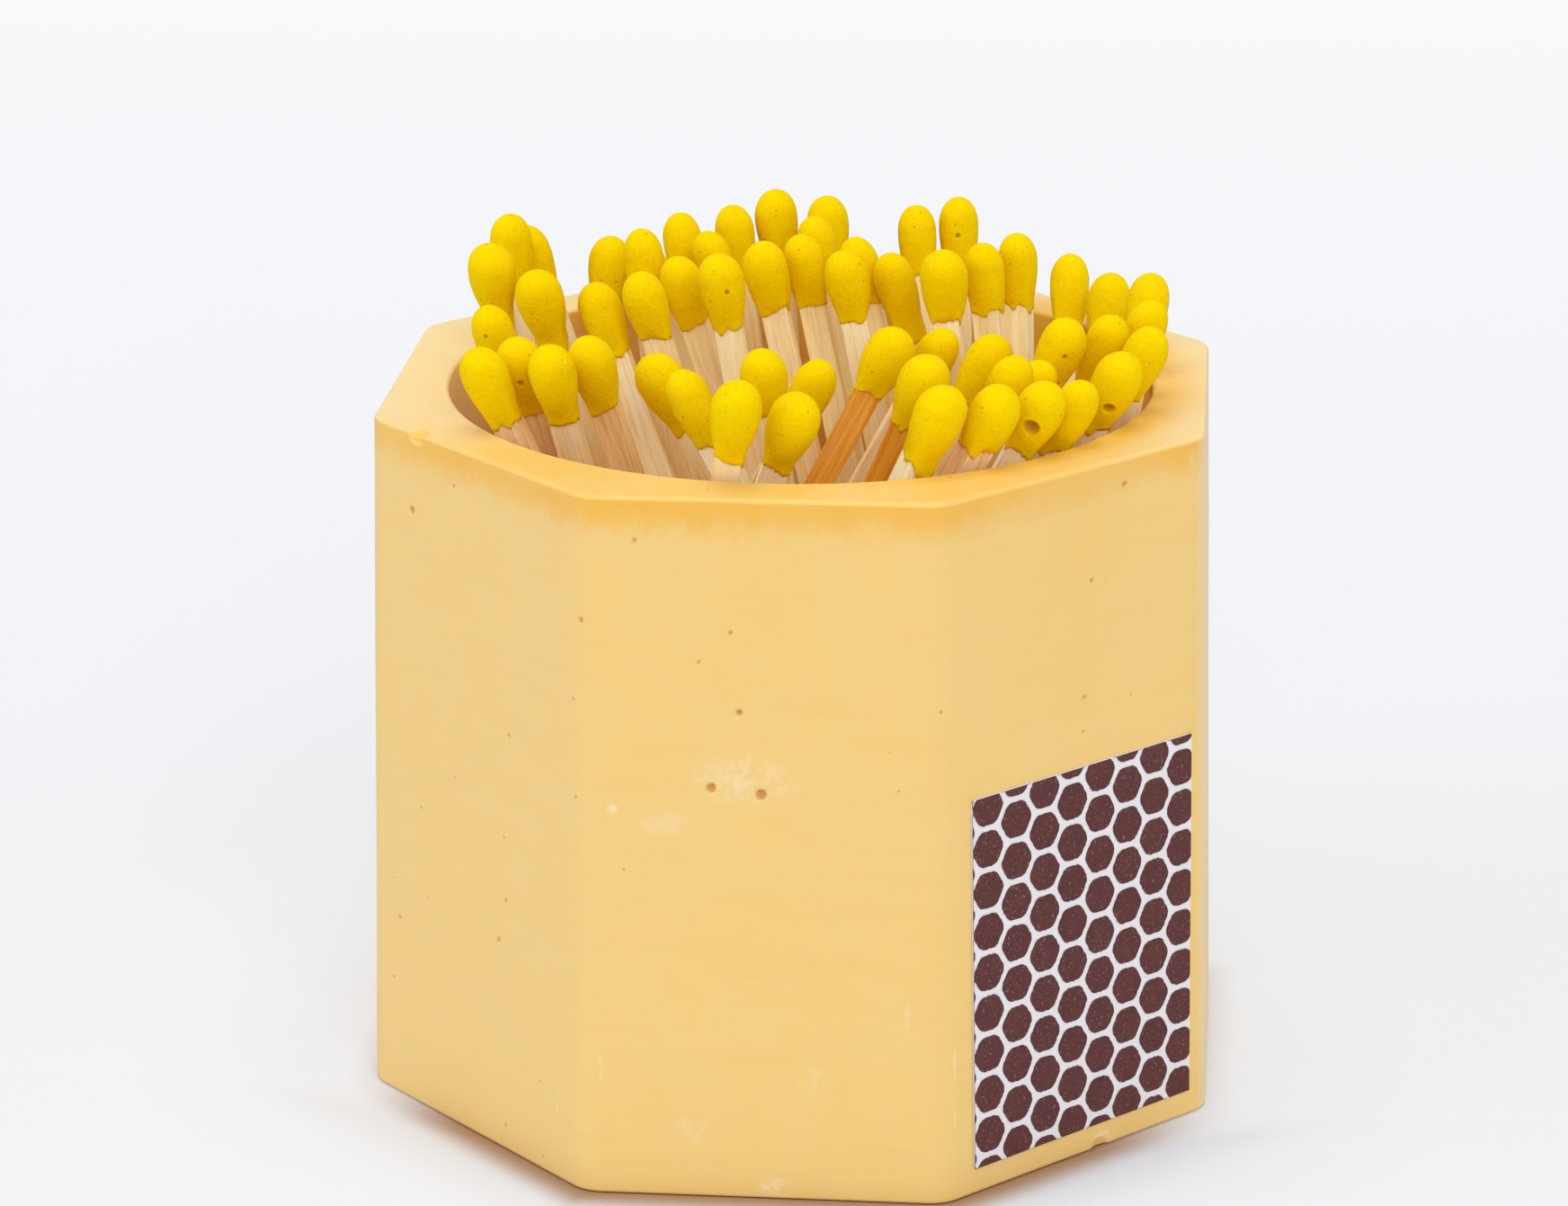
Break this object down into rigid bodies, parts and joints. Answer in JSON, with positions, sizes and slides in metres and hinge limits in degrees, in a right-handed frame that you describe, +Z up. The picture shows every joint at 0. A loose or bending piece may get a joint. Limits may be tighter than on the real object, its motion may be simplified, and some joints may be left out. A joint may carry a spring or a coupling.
{
  "type": "match holder",
  "caption": "Eight-sided cast match holder with a round well full of loose wooden matches, and a honeycomb striker sticker on one face.",
  "frame": {"origin": "the middle of the holder's flat foot, on the surface it stands on", "axes": "+Z up along the well; -Y out of the plain front face; +X to the right; the striker face looks along +X and -Y, 45 degrees to the right of the front"},
  "size_m": [0.0624, 0.0624, 0.0616],
  "materials": {
    "plaster": "matt cast plaster, pale yellow",
    "paper": "white uncoated sticker paper",
    "composition": "printed red-brown striking composition, matt",
    "match_wood": "sawn aspen splint with a dipped matt yellow head"
  },
  "bodies": {
    "holder": {"holder": "plaster", "striker_backing": "paper", "striker_coating": "composition"},
    "match_01": {"match_01": "match_wood"},
    "match_02": {"match_02": "match_wood"},
    "match_03": {"match_03": "match_wood"},
    "match_04": {"match_04": "match_wood"},
    "match_05": {"match_05": "match_wood"},
    "match_06": {"match_06": "match_wood"},
    "match_07": {"match_07": "match_wood"},
    "match_08": {"match_08": "match_wood"},
    "match_09": {"match_09": "match_wood"},
    "match_10": {"match_10": "match_wood"},
    "match_11": {"match_11": "match_wood"},
    "match_12": {"match_12": "match_wood"},
    "match_13": {"match_13": "match_wood"},
    "match_14": {"match_14": "match_wood"},
    "match_15": {"match_15": "match_wood"},
    "match_16": {"match_16": "match_wood"},
    "match_17": {"match_17": "match_wood"},
    "match_18": {"match_18": "match_wood"},
    "match_19": {"match_19": "match_wood"},
    "match_20": {"match_20": "match_wood"},
    "match_21": {"match_21": "match_wood"},
    "match_22": {"match_22": "match_wood"},
    "match_23": {"match_23": "match_wood"},
    "match_24": {"match_24": "match_wood"},
    "match_25": {"match_25": "match_wood"},
    "match_26": {"match_26": "match_wood"},
    "match_27": {"match_27": "match_wood"},
    "match_28": {"match_28": "match_wood"},
    "match_29": {"match_29": "match_wood"},
    "match_30": {"match_30": "match_wood"},
    "match_31": {"match_31": "match_wood"},
    "match_32": {"match_32": "match_wood"},
    "match_33": {"match_33": "match_wood"},
    "match_34": {"match_34": "match_wood"},
    "match_35": {"match_35": "match_wood"},
    "match_36": {"match_36": "match_wood"},
    "match_37": {"match_37": "match_wood"},
    "match_38": {"match_38": "match_wood"},
    "match_39": {"match_39": "match_wood"},
    "match_40": {"match_40": "match_wood"},
    "match_41": {"match_41": "match_wood"},
    "match_42": {"match_42": "match_wood"},
    "match_43": {"match_43": "match_wood"},
    "match_44": {"match_44": "match_wood"},
    "match_45": {"match_45": "match_wood"},
    "match_46": {"match_46": "match_wood"},
    "match_47": {"match_47": "match_wood"},
    "match_48": {"match_48": "match_wood"},
    "match_49": {"match_49": "match_wood"},
    "match_50": {"match_50": "match_wood"},
    "match_51": {"match_51": "match_wood"},
    "match_52": {"match_52": "match_wood"},
    "match_53": {"match_53": "match_wood"},
    "match_54": {"match_54": "match_wood"},
    "match_55": {"match_55": "match_wood"},
    "match_56": {"match_56": "match_wood"}
  },
  "joints": [
    {"name": "match_01_pull", "type": "slide", "parent": "holder", "child": "match_01", "axis": [-0.3682, -0.1756, 0.913], "range_m": [0, 0.045]},
    {"name": "match_02_pull", "type": "slide", "parent": "holder", "child": "match_02", "axis": [-0.2209, -0.2719, 0.9366], "range_m": [0, 0.045]},
    {"name": "match_03_pull", "type": "slide", "parent": "holder", "child": "match_03", "axis": [-0.2096, -0.3569, 0.9103], "range_m": [0, 0.045]},
    {"name": "match_04_pull", "type": "slide", "parent": "holder", "child": "match_04", "axis": [-0.1473, -0.3569, 0.9225], "range_m": [0, 0.045]},
    {"name": "match_05_pull", "type": "slide", "parent": "holder", "child": "match_05", "axis": [-0.2096, -0.3399, 0.9168], "range_m": [0, 0.045]},
    {"name": "match_06_pull", "type": "slide", "parent": "holder", "child": "match_06", "axis": [-0.5155, -0.017, 0.8567], "range_m": [0, 0.045]},
    {"name": "match_07_pull", "type": "slide", "parent": "holder", "child": "match_07", "axis": [-0.4532, 0.0113, 0.8914], "range_m": [0, 0.045]},
    {"name": "match_08_pull", "type": "slide", "parent": "holder", "child": "match_08", "axis": [0.1699, -0.2946, 0.9404], "range_m": [0, 0.045]},
    {"name": "match_09_pull", "type": "slide", "parent": "holder", "child": "match_09", "axis": [0.3229, -0.2889, 0.9013], "range_m": [0, 0.045]},
    {"name": "match_10_pull", "type": "slide", "parent": "holder", "child": "match_10", "axis": [-0.085, -0.3285, 0.9407], "range_m": [0, 0.045]},
    {"name": "match_11_pull", "type": "slide", "parent": "holder", "child": "match_11", "axis": [0.4135, -0.1813, 0.8923], "range_m": [0, 0.045]},
    {"name": "match_12_pull", "type": "slide", "parent": "holder", "child": "match_12", "axis": [0.4588, 0.068, 0.8859], "range_m": [0, 0.045]},
    {"name": "match_13_pull", "type": "slide", "parent": "holder", "child": "match_13", "axis": [0.4475, -0.1926, 0.8733], "range_m": [0, 0.045]},
    {"name": "match_14_pull", "type": "slide", "parent": "holder", "child": "match_14", "axis": [0.3852, -0.0906, 0.9184], "range_m": [0, 0.045]},
    {"name": "match_15_pull", "type": "slide", "parent": "holder", "child": "match_15", "axis": [0.4135, -0.017, 0.9103], "range_m": [0, 0.045]},
    {"name": "match_16_pull", "type": "slide", "parent": "holder", "child": "match_16", "axis": [0.4702, -0.068, 0.88], "range_m": [0, 0.045]},
    {"name": "match_17_pull", "type": "slide", "parent": "holder", "child": "match_17", "axis": [0.4248, -0.0397, 0.9044], "range_m": [0, 0.045]},
    {"name": "match_18_pull", "type": "slide", "parent": "holder", "child": "match_18", "axis": [0.4022, -0.1076, 0.9092], "range_m": [0, 0.045]},
    {"name": "match_19_pull", "type": "slide", "parent": "holder", "child": "match_19", "axis": [0.4418, -0.1869, 0.8774], "range_m": [0, 0.045]},
    {"name": "match_20_pull", "type": "slide", "parent": "holder", "child": "match_20", "axis": [0.4305, -0.1359, 0.8923], "range_m": [0, 0.045]},
    {"name": "match_21_pull", "type": "slide", "parent": "holder", "child": "match_21", "axis": [0.4532, -0.1473, 0.8792], "range_m": [0, 0.045]},
    {"name": "match_22_pull", "type": "slide", "parent": "holder", "child": "match_22", "axis": [0.4078, -0.1699, 0.8971], "range_m": [0, 0.045]},
    {"name": "match_23_pull", "type": "slide", "parent": "holder", "child": "match_23", "axis": [0.3399, -0.1416, 0.9297], "range_m": [0, 0.045]},
    {"name": "match_24_pull", "type": "slide", "parent": "holder", "child": "match_24", "axis": [0.3569, -0.1473, 0.9225], "range_m": [0, 0.045]},
    {"name": "match_25_pull", "type": "slide", "parent": "holder", "child": "match_25", "axis": [0.3455, -0.068, 0.9359], "range_m": [0, 0.045]},
    {"name": "match_26_pull", "type": "slide", "parent": "holder", "child": "match_26", "axis": [0.3795, -0.1133, 0.9182], "range_m": [0, 0.045]},
    {"name": "match_27_pull", "type": "slide", "parent": "holder", "child": "match_27", "axis": [0.1586, 0.3002, 0.9406], "range_m": [0, 0.045]},
    {"name": "match_28_pull", "type": "slide", "parent": "holder", "child": "match_28", "axis": [0.1359, 0.4305, 0.8923], "range_m": [0, 0.045]},
    {"name": "match_29_pull", "type": "slide", "parent": "holder", "child": "match_29", "axis": [-0.0057, 0.4362, 0.8998], "range_m": [0, 0.045]},
    {"name": "match_30_pull", "type": "slide", "parent": "holder", "child": "match_30", "axis": [-0.0283, 0.0566, 0.998], "range_m": [0, 0.045]},
    {"name": "match_31_pull", "type": "slide", "parent": "holder", "child": "match_31", "axis": [-0.0283, 0.2379, 0.9709], "range_m": [0, 0.045]},
    {"name": "match_32_pull", "type": "slide", "parent": "holder", "child": "match_32", "axis": [-0.068, 0.2606, 0.9631], "range_m": [0, 0.045]},
    {"name": "match_33_pull", "type": "slide", "parent": "holder", "child": "match_33", "axis": [-0.085, -0.0453, 0.9954], "range_m": [0, 0.045]},
    {"name": "match_34_pull", "type": "slide", "parent": "holder", "child": "match_34", "axis": [-0.1076, 0.068, 0.9919], "range_m": [0, 0.045]},
    {"name": "match_35_pull", "type": "slide", "parent": "holder", "child": "match_35", "axis": [-0.2832, -0.0397, 0.9582], "range_m": [0, 0.045]},
    {"name": "match_36_pull", "type": "slide", "parent": "holder", "child": "match_36", "axis": [-0.2322, 0.0113, 0.9726], "range_m": [0, 0.045]},
    {"name": "match_37_pull", "type": "slide", "parent": "holder", "child": "match_37", "axis": [-0.1869, -0.0453, 0.9813], "range_m": [0, 0.045]},
    {"name": "match_38_pull", "type": "slide", "parent": "holder", "child": "match_38", "axis": [-0.0736, 0.102, 0.9921], "range_m": [0, 0.045]},
    {"name": "match_39_pull", "type": "slide", "parent": "holder", "child": "match_39", "axis": [-0.1699, 0.1246, 0.9775], "range_m": [0, 0.045]},
    {"name": "match_40_pull", "type": "slide", "parent": "holder", "child": "match_40", "axis": [-0.2096, 0.068, 0.9754], "range_m": [0, 0.045]},
    {"name": "match_41_pull", "type": "slide", "parent": "holder", "child": "match_41", "axis": [-0.2096, 0.0113, 0.9777], "range_m": [0, 0.045]},
    {"name": "match_42_pull", "type": "slide", "parent": "holder", "child": "match_42", "axis": [-0.0793, 0.119, 0.9897], "range_m": [0, 0.045]},
    {"name": "match_43_pull", "type": "slide", "parent": "holder", "child": "match_43", "axis": [-0.1643, -0.0113, 0.9864], "range_m": [0, 0.045]},
    {"name": "match_44_pull", "type": "slide", "parent": "holder", "child": "match_44", "axis": [-0.1416, 0.2153, 0.9662], "range_m": [0, 0.045]},
    {"name": "match_45_pull", "type": "slide", "parent": "holder", "child": "match_45", "axis": [-0.2832, 0.0227, 0.9588], "range_m": [0, 0.045]},
    {"name": "match_46_pull", "type": "slide", "parent": "holder", "child": "match_46", "axis": [-0.1643, 0.1756, 0.9707], "range_m": [0, 0.045]},
    {"name": "match_47_pull", "type": "slide", "parent": "holder", "child": "match_47", "axis": [-0.2946, -0.068, 0.9532], "range_m": [0, 0.045]},
    {"name": "match_48_pull", "type": "slide", "parent": "holder", "child": "match_48", "axis": [-0.1133, 0.0793, 0.9904], "range_m": [0, 0.045]},
    {"name": "match_49_pull", "type": "slide", "parent": "holder", "child": "match_49", "axis": [-0.3115, 0.0793, 0.9469], "range_m": [0, 0.045]},
    {"name": "match_50_pull", "type": "slide", "parent": "holder", "child": "match_50", "axis": [-0.2549, -0.1076, 0.961], "range_m": [0, 0.045]},
    {"name": "match_51_pull", "type": "slide", "parent": "holder", "child": "match_51", "axis": [0.0283, 0.3908, 0.92], "range_m": [0, 0.045]},
    {"name": "match_52_pull", "type": "slide", "parent": "holder", "child": "match_52", "axis": [-0.3512, 0.1529, 0.9237], "range_m": [0, 0.045]},
    {"name": "match_53_pull", "type": "slide", "parent": "holder", "child": "match_53", "axis": [-0.2266, -0.2153, 0.9499], "range_m": [0, 0.045]},
    {"name": "match_54_pull", "type": "slide", "parent": "holder", "child": "match_54", "axis": [-0.3172, -0.0057, 0.9483], "range_m": [0, 0.045]},
    {"name": "match_55_pull", "type": "slide", "parent": "holder", "child": "match_55", "axis": [-0.1359, -0.1133, 0.9842], "range_m": [0, 0.045]},
    {"name": "match_56_pull", "type": "slide", "parent": "holder", "child": "match_56", "axis": [-0.102, -0.0113, 0.9947], "range_m": [0, 0.045]}
  ]
}
